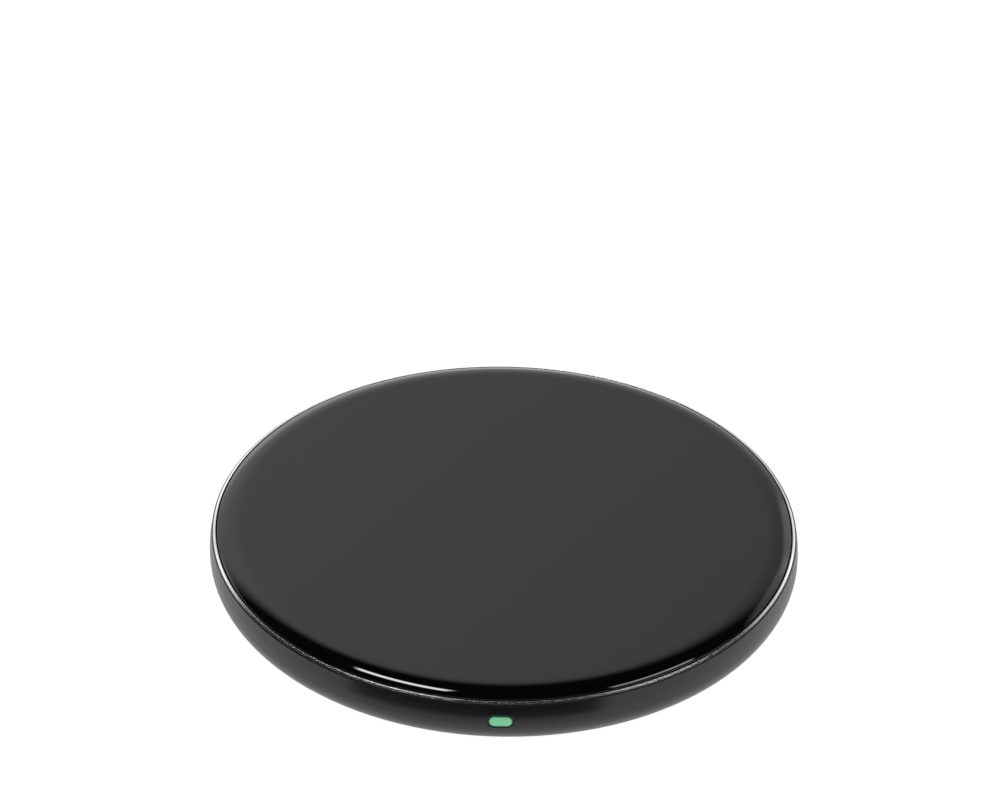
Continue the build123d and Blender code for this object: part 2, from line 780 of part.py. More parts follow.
with BuildPart() as foot_adhesive:
    with BuildSketch(Plane.XY.offset(groove_top)):
        Circle(screw_circle + foot_width / 2)
        Circle(screw_circle - foot_width / 2, mode=Mode.SUBTRACT)
    extrude(amount=-tape_thickness)
foot_adhesive.part.label = "foot_adhesive"
export_step(foot_adhesive.part, "parts/foot_adhesive.step")

with BuildPart() as foot_ring:
    with BuildSketch():
        Circle(screw_circle + foot_width / 2)
        Circle(screw_circle - foot_width / 2, mode=Mode.SUBTRACT)
    extrude(amount=groove_top - tape_thickness)
    fillet(foot_ring.faces().sort_by(Axis.Z)[0].edges(), foot_fillet)
foot_ring.part.label = "foot_ring"
export_step(foot_ring.part, "parts/foot_ring.step")

print("height", round(glass_top, 3), "glass radius", round(glass_radius, 3), "board radius", board_radius)
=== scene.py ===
# %% [markdown]
# # A round wireless charging pad
#
# A low black puck: a sheet of glass with a rounded edge, a ring with a thin silver line round it, a satin
# casing with a small green light at the front, and a socket for the cord at the back. The CAD model is
# loaded first. It gives every place and size, and nothing in it is moved. The glass and the ring are then
# turned afresh as clean meshes, and every piece gets the finish that its real material has.

import math

import bpy
from mathutils import Matrix, Vector


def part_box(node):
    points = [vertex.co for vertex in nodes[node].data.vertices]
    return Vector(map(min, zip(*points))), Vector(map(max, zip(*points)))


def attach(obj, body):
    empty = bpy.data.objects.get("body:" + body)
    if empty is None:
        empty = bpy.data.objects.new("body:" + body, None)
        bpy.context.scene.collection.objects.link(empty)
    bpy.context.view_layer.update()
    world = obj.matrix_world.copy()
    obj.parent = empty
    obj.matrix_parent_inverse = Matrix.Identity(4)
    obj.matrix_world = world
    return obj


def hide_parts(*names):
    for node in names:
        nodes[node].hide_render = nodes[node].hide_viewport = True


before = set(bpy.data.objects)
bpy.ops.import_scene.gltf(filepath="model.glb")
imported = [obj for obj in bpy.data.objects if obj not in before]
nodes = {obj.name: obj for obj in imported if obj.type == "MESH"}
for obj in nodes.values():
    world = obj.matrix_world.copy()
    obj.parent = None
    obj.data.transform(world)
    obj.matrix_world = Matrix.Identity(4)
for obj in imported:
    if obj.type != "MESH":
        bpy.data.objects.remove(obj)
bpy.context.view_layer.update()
mm = 0.001

# %% [markdown]
# ## Turning on a lathe
#
# The glass and the ring are round about one axis. A circle is added at the first radius, and its edge is
# then pulled out step by step along the outline, as a turner works from one cut to the next. Spin would do
# the same, but this way the seams close by themselves and each cut can be read off the outline.

# %% Turn an outline into a round piece
SEGMENTS = 288
SMOOTH_ANGLE = math.radians(30)
MERGE_DISTANCE = 0.001 * mm


def arc(centre, radius, start, end, steps):
    """Points on an arc in the (radius, height) plane: angles in degrees, 0 outwards and 90 up."""
    angles = [math.radians(start + (end - start) * step / steps) for step in range(steps + 1)]
    return [(centre[0] + radius * math.cos(a), centre[1] + radius * math.sin(a)) for a in angles]


def select_only(piece):
    bpy.ops.object.select_all(action="DESELECT")
    piece.select_set(True)
    bpy.context.view_layer.objects.active = piece


def turned(name, outline, closed):
    """A round piece about Z. The outline's points are (radius, height), from the first cut to the last."""
    bpy.ops.object.select_all(action="DESELECT")
    radius, height = outline[0]
    bpy.ops.mesh.primitive_circle_add(vertices=SEGMENTS, radius=radius, location=(0, 0, height),
                                      fill_type="NOTHING" if closed else "NGON")
    piece = bpy.context.object
    piece.name = name
    bpy.ops.object.transform_apply(location=True)
    bpy.ops.object.mode_set(mode="EDIT")
    bpy.ops.mesh.select_mode(type="EDGE")
    bpy.ops.mesh.select_all(action="SELECT")
    if not closed:
        bpy.ops.mesh.region_to_loop()
    for next_radius, next_height in outline[1:]:
        share = next_radius / radius
        bpy.ops.mesh.extrude_edges_move(TRANSFORM_OT_translate={"value": (0, 0, next_height - height)})
        bpy.ops.transform.resize(value=(share, share, 1), center_override=(0, 0, 0))
        radius, height = next_radius, next_height
    if not closed:
        bpy.ops.mesh.edge_face_add()
    bpy.ops.mesh.select_all(action="SELECT")
    bpy.ops.mesh.remove_doubles(threshold=MERGE_DISTANCE)
    bpy.ops.mesh.normals_make_consistent(inside=False)
    bpy.ops.object.mode_set(mode="OBJECT")
    bpy.ops.object.shade_smooth_by_angle(angle=SMOOTH_ANGLE)
    print(name, len(piece.data.polygons), "faces")
    return piece

# %% [markdown]
# ## The glass
#
# The plate is flat in the middle, and its last 4 mm roll down in one arc, as on a phone. A bevel modifier
# on a disc could round the edge, but reflections show any uneven step, so the arc is worked out and
# turned. A narrow flat step before the arc keeps the shading of the flat part free of it.

# %% Turn the glass
EDGE_WIDTH = 4.0 * mm
EDGE_DROP = 0.95 * mm
EDGE_ROUND = 0.2 * mm
FLAT_STEP = 0.4 * mm
CROWN_CUTS = 26
UPPER_CUTS = 10
LOWER_CUTS = 5

glass_low, glass_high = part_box("top_glass")
glass_radius = glass_high.x
flat_radius = glass_radius - EDGE_WIDTH
crown_radius = (EDGE_WIDTH ** 2 + EDGE_DROP ** 2) / (2 * EDGE_DROP)
crown_centre = (flat_radius, glass_high.z - crown_radius)
round_radius = glass_radius - EDGE_ROUND
round_rise = math.sqrt((crown_radius - EDGE_ROUND) ** 2 - (round_radius - flat_radius) ** 2)
upper_round = (round_radius, crown_centre[1] + round_rise)
lower_round = (round_radius, glass_low.z + EDGE_ROUND)
crown_end = math.degrees(math.atan2(round_rise, round_radius - flat_radius))

glass_outline = [(flat_radius - FLAT_STEP, glass_high.z)]
glass_outline += arc(crown_centre, crown_radius, 90, crown_end, CROWN_CUTS)
glass_outline += arc(upper_round, EDGE_ROUND, crown_end, 0, UPPER_CUTS)[1:]
glass_outline += arc(lower_round, EDGE_ROUND, 0, -90, LOWER_CUTS)
glass = turned("glass_plate", glass_outline, closed=False)
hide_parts("top_glass")
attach(glass, "root")

# %% [markdown]
# ## The bright ring
#
# A thin metal ring lies on the casing's edge, with a wide bevel on its outer side that catches the light.
# Its section has only five corners, so it is turned in five cuts. A bevel modifier then takes the
# sharpness off each corner, as polishing does.

# %% Turn the ring
RING_FLAT = 0.08 * mm
RING_BEVEL_DROP = 0.33 * mm
RING_CORNER = 0.035 * mm
RING_CORNER_STEPS = 3
SHARP_CORNER = math.radians(20)
RING_GAP_TO_GLASS = 0.25 * mm

ring_low, ring_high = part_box("trim_ring")
ring_inner = glass_radius + RING_GAP_TO_GLASS
ring_outline = [
    (ring_inner, ring_low.z),
    (ring_high.x, ring_low.z),
    (ring_high.x, ring_high.z - RING_BEVEL_DROP),
    (ring_inner + RING_FLAT, ring_high.z),
    (ring_inner, ring_high.z),
    (ring_inner, ring_low.z),
]
ring = turned("bright_ring", ring_outline, closed=True)
corners = ring.modifiers.new("polished corners", "BEVEL")
corners.width = RING_CORNER
corners.segments = RING_CORNER_STEPS
corners.limit_method = "ANGLE"
corners.angle_limit = SHARP_CORNER
select_only(ring)
bpy.ops.object.modifier_apply(modifier=corners.name)
bpy.ops.object.shade_smooth_by_angle(angle=SMOOTH_ANGLE)
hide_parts("trim_ring")
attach(ring, "root")
print("ring section in mm:", [(round(r / mm, 2), round(z / mm, 2)) for r, z in ring_outline])

# %% [markdown]
# ## Helpers for the finishes
#
# Every finish is a node tree round one Principled shader. One function adds a node, sets its values and
# links its inputs. Patterns read Object coordinates, which are metres from the pad's centre, so a noise
# scale is one over the size that its grains should have. A Mix node has a set of sockets for each kind of
# value, so they go by number: 0 is the share, 2 and 3 are two numbers, and 6 and 7 are two colours. The
# mixed number comes out of 0, and the mixed colour out of 2.

# %% Colour and node helpers
def linear(hex_colour):
    """An sRGB hex value as the linear colour that sockets take."""
    shares = [int(hex_colour[place:place + 2], 16) / 255 for place in (1, 3, 5)]
    return [s / 12.92 if s <= 0.04045 else ((s + 0.055) / 1.055) ** 2.4 for s in shares] + [1.0]


def two_tones(first, second):
    """Settings of a Mix node between two sRGB hex colours."""
    return {"data_type": "RGBA", 6: linear(first), 7: linear(second)}


def add_node(tree, kind, settings=None, links=None):
    """Adds a node. Settings are its sockets' values or its properties, and links feed its sockets."""
    node = tree.nodes.new(kind)
    for name, value in (settings or {}).items():
        if isinstance(name, str) and hasattr(node, name):
            setattr(node, name, value)
        else:
            node.inputs[name].default_value = value
    for name, source in (links or {}).items():
        tree.links.new(source, node.inputs[name])
    return node


def new_finish(name, **values):
    """A new material: returns its tree, its shader and the socket with Object coordinates."""
    material = bpy.data.materials.new(name)
    material.use_nodes = True
    tree = material.node_tree
    shader = tree.nodes["Principled BSDF"]
    for socket, value in values.items():
        shader.inputs[socket.replace("_", " ")].default_value = value
    place = add_node(tree, "ShaderNodeTexCoord").outputs["Object"]
    return material, tree, shader, place


def per_metre(size_mm):
    """Noise scale that gives grains of this size."""
    return 1 / (size_mm * mm)


def axis_distance(tree, place):
    """Distance from the pad's axis, in metres."""
    flat = add_node(tree, "ShaderNodeVectorMath", {"operation": "MULTIPLY", 1: (1, 1, 0)}, {0: place})
    reach = add_node(tree, "ShaderNodeVectorMath", {"operation": "LENGTH"}, {0: flat.outputs[0]})
    return reach.outputs["Value"]


def wear(piece, material):
    """Puts the finish on a new piece or on a CAD node's own slots."""
    if not piece.material_slots:
        piece.data.materials.append(material)
    for slot in piece.material_slots:
        slot.material = material
    print(piece.name, "wears", material.name)


# %% [markdown]
# ## Moulded plastics and rubber
#
# The casing, the cover, the deck and most chips are moulded. A mould is spark-eroded or etched, which
# leaves a fine even grain, and the resin's flow leaves the gloss slightly patchy. One function makes all
# of them from their colour, gloss, grain and grain depth. A displacement would give the same grain in
# geometry, but it is a few hundredths of a millimetre deep at most, and a bump does that as well.

# %% One moulded finish with its own grain
FLOW_PER_GRAIN = 60


def moulded(name, colours, gloss, grain_mm, depth_mm, ior):
    """Colours are the darker and the lighter tone, and gloss the lowest and highest roughness."""
    material, tree, shader, place = new_finish(name, IOR=ior)
    grain = add_node(tree, "ShaderNodeTexNoise", {"Scale": per_metre(grain_mm), "Detail": 3.0},
                     {"Vector": place})
    flow = add_node(tree, "ShaderNodeTexNoise",
                    {"Scale": per_metre(grain_mm * FLOW_PER_GRAIN), "Detail": 2.0}, {"Vector": place})
    tone = add_node(tree, "ShaderNodeMix", two_tones(*colours), {0: grain.outputs["Fac"]})
    shine = add_node(tree, "ShaderNodeMapRange", {"To Min": gloss[0], "To Max": gloss[1]},
                     {"Value": flow.outputs["Fac"]})
    bump = add_node(tree, "ShaderNodeBump", {"Strength": 1.0, "Distance": depth_mm * mm},
                    {"Height": grain.outputs["Fac"]})
    tree.links.new(tone.outputs[2], shader.inputs["Base Color"])
    tree.links.new(shine.outputs["Result"], shader.inputs["Roughness"])
    tree.links.new(bump.outputs["Normal"], shader.inputs["Normal"])
    return material


# PC/ABS with a very fine erosion grain: satin black, soft highlights that spread along the barrel
casing_finish = moulded("satin_black_pc_abs", ("#09090A", "#0D0D0E"), (0.32, 0.38), 0.12, 0.003, 1.5)
for name in ("casing_ring", "bottom_cover"):
    wear(nodes[name], casing_finish)

# %% Other moulded pieces
# ABS straight from a plain polished tool: greyer and a little patchy, nobody sees it
wear(nodes["top_deck"],
     moulded("natural_black_abs", ("#1C1C1D", "#242425"), (0.32, 0.5), 0.35, 0.006, 1.54))

# Silicone rubber from an etched tool: matt, slightly grey, with a grain that grips the table
wear(nodes["foot_ring"],
     moulded("matt_silicone_rubber", ("#232324", "#2F2F30"), (0.72, 0.86), 0.22, 0.03, 1.41))

# Glass-filled liquid crystal polymer of the socket's tongue: dull black with short pale flow marks
wear(nodes["usb_tongue"],
     moulded("black_liquid_crystal_polymer", ("#121213", "#1E1E1F"), (0.45, 0.6), 0.1, 0.006, 1.6))

# Epoxy mould compound of the chips: charcoal with fine glass filler
package_finish = moulded("epoxy_mould_compound", ("#1A1A1B", "#262628"), (0.5, 0.68), 0.08, 0.008, 1.55)
for name in ("controller_chip", "bridge_transistors", "regulator_chip"):
    wear(nodes[name], package_finish)

# Pressed iron powder of the inductor: grey, grainy, coarse enough to see
wear(nodes["power_inductor"],
     moulded("pressed_iron_powder", ("#3A3A3B", "#555557"), (0.55, 0.75), 0.18, 0.02, 1.9))

# Epoxy-dipped bead of the temperature sensor: glossy, thick drop
wear(nodes["thermistor"],
     moulded("dipped_epoxy_bead", ("#1B1B20", "#24242B"), (0.12, 0.22), 0.6, 0.01, 1.53))

# Sleeving on the coil's tails: woven glass with varnish, dull black
wear(nodes["coil_leads"],
     moulded("varnished_glass_sleeving", ("#202022", "#3A3A3E"), (0.45, 0.6), 0.25, 0.03, 1.5))

# %% [markdown]
# ## Printed glass
#
# The plate is tempered glass with black ink on its back, so it is as good as opaque: the eye sees a deep
# black and one clean reflection. Clear glass over a separate ink layer would look the same and be slower.
# The polish is never quite even, so a wide faint noise varies the roughness a little.

# %% Finish of the glass
material, tree, shader, place = new_finish("black_printed_glass", IOR=1.52)
ink = add_node(tree, "ShaderNodeTexNoise", {"Scale": per_metre(0.4), "Detail": 2.0}, {"Vector": place})
ink_tone = add_node(tree, "ShaderNodeMix", two_tones("#030303", "#070708"), {0: ink.outputs["Fac"]})
polish = add_node(tree, "ShaderNodeTexNoise", {"Scale": per_metre(14), "Detail": 4.0}, {"Vector": place})
gloss = add_node(tree, "ShaderNodeMapRange", {"To Min": 0.015, "To Max": 0.05},
                 {"Value": polish.outputs["Fac"]})
tree.links.new(ink_tone.outputs[2], shader.inputs["Base Color"])
tree.links.new(gloss.outputs["Result"], shader.inputs["Roughness"])
wear(glass, material)

# %% [markdown]
# ## Finish of the ring
#
# The ring is coated black like the casing, and a last fine cut along its upper bevel bares the metal
# again. The tool leaves fine lines that run round it and tiny facets that sparkle a little. Real ones are
# finer, and these are drawn as coarse as they need to show. The bare bevel mirrors black cloth at the
# front and white walls at the sides, so the silver line looks dim in front and bright at the sides. Two
# pieces would need a hair-thin joint, so one finish changes from metal to coat where the cut ends, by the
# distance from the axis.

# %% Finish of the bright ring
CUT_WIDTH = 0.42 * mm
CUT_SOFTNESS = 0.02 * mm
FACET_MM = 0.12
LINE_PITCH_MM = 0.03
RELIEF_DEPTH = 0.004 * mm
RELIEF_STRENGTH = 0.3
CUT_POLISH = (0.14, 0.24)
COAT_ROUGHNESS = 0.35

material, tree, shader, place = new_finish("black_coat_with_bright_cut_bevel")
radius = axis_distance(tree, place)
cut_end = ring_inner + CUT_WIDTH
bare = add_node(tree, "ShaderNodeMapRange",
                {"From Min": cut_end - CUT_SOFTNESS, "From Max": cut_end + CUT_SOFTNESS,
                 "To Min": 1.0, "To Max": 0.0}, {"Value": radius})
lines = add_node(tree, "ShaderNodeTexNoise", {"noise_dimensions": "1D", "Scale": per_metre(LINE_PITCH_MM)},
                 {"W": radius})
facets = add_node(tree, "ShaderNodeTexVoronoi", {"Scale": per_metre(FACET_MM)}, {"Vector": place})
facet_height = add_node(tree, "ShaderNodeSeparateColor", {}, {0: facets.outputs["Color"]})
relief = add_node(tree, "ShaderNodeMix", {0: 0.5}, {2: lines.outputs["Fac"], 3: facet_height.outputs[0]})
bump = add_node(tree, "ShaderNodeBump", {"Strength": RELIEF_STRENGTH, "Distance": RELIEF_DEPTH},
                {"Height": relief.outputs[0]})
polish = add_node(tree, "ShaderNodeMapRange", {"To Min": CUT_POLISH[0], "To Max": CUT_POLISH[1]},
                  {"Value": facet_height.outputs[1]})
shine = add_node(tree, "ShaderNodeMix", {2: COAT_ROUGHNESS},
                 {0: bare.outputs["Result"], 3: polish.outputs["Result"]})
silver = add_node(tree, "ShaderNodeMix", two_tones("#D0D0D2", "#F2F2F3"), {0: facet_height.outputs[2]})
tone = add_node(tree, "ShaderNodeMix", {"data_type": "RGBA", 6: linear("#0B0B0C")},
                {0: bare.outputs["Result"], 7: silver.outputs[2]})
tree.links.new(bare.outputs["Result"], shader.inputs["Metallic"])
tree.links.new(tone.outputs[2], shader.inputs["Base Color"])
tree.links.new(shine.outputs[0], shader.inputs["Roughness"])
tree.links.new(bump.outputs["Normal"], shader.inputs["Normal"])
wear(ring, material)

# %% [markdown]
# ## The status light
#
# A milky acrylic insert, lit from behind by two small lamps. Its middle glows mint green, and its edge,
# where the light has furthest to go and meets the black slot, stays dark green. The distance from the
# insert's middle line gives that edge, so the glow follows its rounded ends.

# %% Finish of the status light
RIM = 0.34 * mm
RIM_FULLY_DARK = 0.12
GLOW_STRENGTH = 0.9

light_low, light_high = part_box("led_window")
light_middle = (light_low.z + light_high.z) / 2
light_round = (light_high.z - light_low.z) / 2
light_straight = light_high.x - light_round
material, tree, shader, place = new_finish("milky_acrylic_lit_green", IOR=1.49, Roughness=0.45)
sides = add_node(tree, "ShaderNodeSeparateXYZ", {}, {0: place})
across = add_node(tree, "ShaderNodeMath", {"operation": "ABSOLUTE"}, {0: sides.outputs["X"]})
past_straight = add_node(tree, "ShaderNodeMath", {"operation": "SUBTRACT", 1: light_straight},
                         {0: across.outputs[0]})
beside = add_node(tree, "ShaderNodeMath", {"operation": "MAXIMUM", 1: 0.0}, {0: past_straight.outputs[0]})
above = add_node(tree, "ShaderNodeMath", {"operation": "SUBTRACT", 1: light_middle},
                 {0: sides.outputs["Z"]})
off_line = add_node(tree, "ShaderNodeCombineXYZ", {}, {"X": beside.outputs[0], "Y": above.outputs[0]})
distance = add_node(tree, "ShaderNodeVectorMath", {"operation": "LENGTH"}, {0: off_line.outputs[0]})
edge = add_node(tree, "ShaderNodeMapRange",
                {"interpolation_type": "SMOOTHSTEP", "From Min": light_round - RIM,
                 "From Max": light_round - RIM_FULLY_DARK * RIM}, {"Value": distance.outputs["Value"]})
cloud = add_node(tree, "ShaderNodeTexNoise", {"Scale": per_metre(0.9), "Detail": 2.0}, {"Vector": place})
milk = add_node(tree, "ShaderNodeMix", two_tones("#6CB986", "#74C190"), {0: cloud.outputs["Fac"]})
glow = add_node(tree, "ShaderNodeMix", {"data_type": "RGBA", 7: linear("#16382A")},
                {0: edge.outputs["Result"], 6: milk.outputs[2]})
shader.inputs["Emission Strength"].default_value = GLOW_STRENGTH
tree.links.new(glow.outputs[2], shader.inputs["Emission Color"])
tint = add_node(tree, "ShaderNodeMix", two_tones("#3C5C4C", "#0E1E17"), {0: edge.outputs["Result"]})
tree.links.new(tint.outputs[2], shader.inputs["Base Color"])
wear(nodes["led_window"], material)

# %% [markdown]
# ## Metals
#
# The socket's shell and the screws are stamped or headed steel with a nickel flash, the contacts are gold
# over nickel, and the joints are solder. All are metals with their own colour. What tells them apart is
# how rough they are and how the roughness is spread, so one function takes both from a noise.

# %% One metal with uneven polish
def metal(name, colours, gloss, grain_mm, depth_mm, stretch=(1, 1, 1)):
    """Stretch under 1 along an axis draws the grain out along it, as rolling does."""
    material, tree, shader, place = new_finish(name, Metallic=1.0)
    drawn = add_node(tree, "ShaderNodeMapping", {"Scale": stretch}, {"Vector": place})
    grain = add_node(tree, "ShaderNodeTexNoise", {"Scale": per_metre(grain_mm), "Detail": 4.0},
                     {"Vector": drawn.outputs[0]})
    tone = add_node(tree, "ShaderNodeMix", two_tones(*colours), {0: grain.outputs["Fac"]})
    shine = add_node(tree, "ShaderNodeMapRange", {"To Min": gloss[0], "To Max": gloss[1]},
                     {"Value": grain.outputs["Fac"]})
    bump = add_node(tree, "ShaderNodeBump", {"Strength": 1.0, "Distance": depth_mm * mm},
                    {"Height": grain.outputs["Fac"]})
    tree.links.new(tone.outputs[2], shader.inputs["Base Color"])
    tree.links.new(shine.outputs["Result"], shader.inputs["Roughness"])
    tree.links.new(bump.outputs["Normal"], shader.inputs["Normal"])
    return material


# Nickel-plated strip steel: a cool satin with the rolling direction just visible along the socket
shell_finish = metal("rolled_nickel_plated_steel",
                     ("#A9A9A7", "#C9C9C6"), (0.2, 0.38), 0.12, 0.002, (1, 0.08, 1))
wear(nodes["usb_shell"], shell_finish)
wear(nodes["crystal"], shell_finish)

# Cold-headed screws, barrel plated: brighter and a little rounder in their gloss
screw_finish = metal("zinc_nickel_plated_screw", ("#9C9C98", "#C4C4C0"), (0.25, 0.42), 0.3, 0.004)
for name in ("cover_screws", "board_screws"):
    wear(nodes[name], screw_finish)

# Hard gold over nickel: warm and very smooth
wear(nodes["usb_contacts"],
     metal("hard_gold_plating", ("#C9983F", "#E3BC6B"), (0.14, 0.26), 0.2, 0.001, (1, 0.1, 1)))

# Reflowed solder: bright, with soft wrinkles where it froze
solder_finish = metal("reflowed_solder", ("#A5A7A9", "#D5D6D7"), (0.2, 0.45), 0.4, 0.03)
for name in ("solder_joints", "thermistor_leads"):
    wear(nodes[name], solder_finish)

# %% [markdown]
# ## Tapes and foam
#
# Layers of double-sided tape hold the stack together, and a foam block keeps the light from leaking. Film
# tape is smooth with small trapped bubbles, tissue tape shows its fibres, and foam is all pores. Each is a
# cell or noise pattern of its own size on one rough shader. The colour is darker where the pattern is low,
# which is painted shade in the bubbles, grooves and pores.

# %% Tapes and foam
def layered(name, colours, roughness, cell_mm, depth_mm, pattern="F1"):
    """A sheet or block whose relief is a cell pattern: bubbles, fibres or pores."""
    material, tree, shader, place = new_finish(name, Roughness=roughness)
    cells = add_node(tree, "ShaderNodeTexVoronoi", {"feature": pattern, "Scale": per_metre(cell_mm)},
                     {"Vector": place})
    # The tone follows the relief: darker where the cells are low, which is painted shade in the hollows.
    tone = add_node(tree, "ShaderNodeMix", two_tones(*colours), {0: cells.outputs["Distance"]})
    bump = add_node(tree, "ShaderNodeBump", {"Strength": 1.0, "Distance": depth_mm * mm},
                    {"Height": cells.outputs["Distance"]})
    tree.links.new(tone.outputs[2], shader.inputs["Base Color"])
    tree.links.new(bump.outputs["Normal"], shader.inputs["Normal"])
    return material


# Tissue tape: off-white with a web of fibres
tissue = layered("tissue_tape_off_white", ("#CFCBC0", "#F0EEE8"), 0.6, 0.7, 0.01, "DISTANCE_TO_EDGE")
for name in ("deck_tape", "coil_tape", "board_tape", "foot_adhesive"):
    wear(nodes[name], tissue)

# Black film tape under the glass: smooth, faint bubbles
wear(nodes["glass_adhesive"], layered("black_film_tape", ("#17171A", "#232326"), 0.3, 2.5, 0.01))

# Closed-cell foam round the light: dull, open pores where it was cut, painted darker as shade
wear(nodes["light_seal"],
     layered("black_closed_cell_foam", ("#0C0C0D", "#222224"), 0.9, 0.18, 0.06, "SMOOTH_F1"))

# %% [markdown]
# ## Coil and ferrite
#
# The coil is litz wire: dozens of enamelled copper strands twisted together. The strands run along the
# turns, so their pattern is drawn on the angle round the axis and the distance from it. It slants by a few
# strands per radian, as a twist does. The ferrite below is pressed and sintered ceramic, dull, with pores
# painted darker as shade.

# %% Finishes of the coil and the ferrite
STRAND = 0.16 * mm
STREAKS_PER_RADIAN = 14.0
TWIST_PER_RADIAN = 9.0

material, tree, shader, place = new_finish("enamelled_copper_litz", Metallic=1.0)
sides = add_node(tree, "ShaderNodeSeparateXYZ", {}, {0: place})
angle = add_node(tree, "ShaderNodeMath", {"operation": "ARCTAN2"},
                 {0: sides.outputs["Y"], 1: sides.outputs["X"]})
turn_place = add_node(tree, "ShaderNodeMath", {"operation": "MULTIPLY", 1: STREAKS_PER_RADIAN},
                      {0: angle.outputs[0]})
strand_place = add_node(tree, "ShaderNodeMath", {"operation": "DIVIDE", 1: STRAND},
                        {0: axis_distance(tree, place)})
slant = add_node(tree, "ShaderNodeMath", {"operation": "MULTIPLY_ADD", 1: TWIST_PER_RADIAN},
                 {0: angle.outputs[0], 2: strand_place.outputs[0]})
height = add_node(tree, "ShaderNodeMath", {"operation": "DIVIDE", 1: STRAND}, {0: sides.outputs["Z"]})
along = add_node(tree, "ShaderNodeCombineXYZ", {}, {"X": slant.outputs[0], "Y": turn_place.outputs[0],
                                                     "Z": height.outputs[0]})
strands = add_node(tree, "ShaderNodeTexNoise", {"Scale": 1.0, "Detail": 2.0}, {"Vector": along.outputs[0]})
tone = add_node(tree, "ShaderNodeMix", two_tones("#8A4A20", "#E09A5A"), {0: strands.outputs["Fac"]})
shine = add_node(tree, "ShaderNodeMapRange", {"To Min": 0.22, "To Max": 0.42},
                 {"Value": strands.outputs["Fac"]})
bump = add_node(tree, "ShaderNodeBump", {"Strength": 1.0, "Distance": 0.05 * mm},
                {"Height": strands.outputs["Fac"]})
tree.links.new(tone.outputs[2], shader.inputs["Base Color"])
tree.links.new(shine.outputs["Result"], shader.inputs["Roughness"])
tree.links.new(bump.outputs["Normal"], shader.inputs["Normal"])
wear(nodes["transmitter_coil"], material)
wear(nodes["ferrite_plate"], layered("sintered_ferrite", ("#26272A", "#47484C"), 0.55, 0.25, 0.02))

# %% [markdown]
# ## Circuit board
#
# Glass-epoxy under green solder resist. Copper below the resist shows as lighter green fields with thin
# dark gaps between them. A brick pattern with offset rows gives such fields and gaps without drawing every
# trace, which would take a picture.

# %% Finish of the board
FIELD = 2.4 * mm
TRACE_GAP = 0.25 * mm

material, tree, shader, place = new_finish("green_solder_resist_on_glass_epoxy", Roughness=0.32, IOR=1.55)
fields = add_node(tree, "ShaderNodeTexBrick",
                  {"Scale": 1.0, "Brick Width": 3 * FIELD, "Row Height": FIELD, "Mortar Size": TRACE_GAP,
                   "Mortar Smooth": 0.2, "Color1": linear("#1E6B3C"), "Color2": linear("#23763F"),
                   "Mortar": linear("#0F4526")}, {"Vector": place})
weave = add_node(tree, "ShaderNodeTexNoise", {"Scale": per_metre(0.35), "Detail": 2.0}, {"Vector": place})
tone = add_node(tree, "ShaderNodeMix", {"data_type": "RGBA", "blend_type": "OVERLAY", 0: 0.35},
                {6: fields.outputs["Color"], 7: weave.outputs["Color"]})
bump = add_node(tree, "ShaderNodeBump", {"Strength": 1.0, "Distance": 0.02 * mm, "invert": True},
                {"Height": fields.outputs["Fac"]})
tree.links.new(tone.outputs[2], shader.inputs["Base Color"])
tree.links.new(bump.outputs["Normal"], shader.inputs["Normal"])
wear(nodes["circuit_board"], material)

# %% [markdown]
# ## Ceramic chips
#
# A chip capacitor is a fired ceramic block with a tinned cap on each end. The chips all stand on one
# circle with their length along the radius, so the distance from that circle says what is cap and what is
# ceramic, and one function serves every size.

# %% How near to the axis and how far from it the chips reach
chip_reach = {}
for node in ("resonant_capacitors", "bulk_capacitors", "chip_capacitors", "chip_resistors"):
    reaches = [v.co.xy.length for v in nodes[node].data.vertices]
    chip_reach[node] = (min(reaches), max(reaches))
print("chips reach in mm:", {node: [round(r / mm, 2) for r in chip_reach[node]] for node in chip_reach})


# %% Chips with tinned ends
def tinned_chip(name, node, cap_mm, colours):
    """The caps are the first and last cap_mm of each chip, measured along the radius."""
    low, high = chip_reach[node]
    middle, half = (low + high) / 2, (high - low) / 2
    material, tree, shader, place = new_finish(name)
    off_circle = add_node(tree, "ShaderNodeMath", {"operation": "SUBTRACT", 1: middle},
                          {0: axis_distance(tree, place)})
    reach = add_node(tree, "ShaderNodeMath", {"operation": "ABSOLUTE"}, {0: off_circle.outputs[0]})
    cap = add_node(tree, "ShaderNodeMath", {"operation": "GREATER_THAN", 1: half - cap_mm * mm},
                   {0: reach.outputs[0]})
    firing = add_node(tree, "ShaderNodeTexNoise", {"Scale": per_metre(0.2), "Detail": 3.0}, {"Vector": place})
    body = add_node(tree, "ShaderNodeMix", two_tones(*colours), {0: firing.outputs["Fac"]})
    tone = add_node(tree, "ShaderNodeMix", {"data_type": "RGBA", 7: linear("#C9C9C6")},
                    {0: cap.outputs[0], 6: body.outputs[2]})
    shine = add_node(tree, "ShaderNodeMapRange", {"To Min": 0.3, "To Max": 0.55},
                     {"Value": firing.outputs["Fac"]})
    tree.links.new(tone.outputs[2], shader.inputs["Base Color"])
    tree.links.new(cap.outputs[0], shader.inputs["Metallic"])
    tree.links.new(shine.outputs["Result"], shader.inputs["Roughness"])
    wear(nodes[node], material)


ceramic_tan = ("#7A5C3C", "#9A7850")
tinned_chip("fired_ceramic_resonant", "resonant_capacitors", 0.6, ceramic_tan)
tinned_chip("fired_ceramic_bulk", "bulk_capacitors", 0.5, ceramic_tan)
tinned_chip("fired_ceramic_small", "chip_capacitors", 0.3, ceramic_tan)
tinned_chip("thick_film_resistor", "chip_resistors", 0.2, ("#141416", "#222226"))

# %% [markdown]
# ## Lamps and light guide
#
# Each lamp is a white moulded package that looks green towards its top, where the light comes out, so its
# tone follows the height. The guide is clear acrylic, so it gets real transmission, and a faint noise
# stands for its moulded skin.

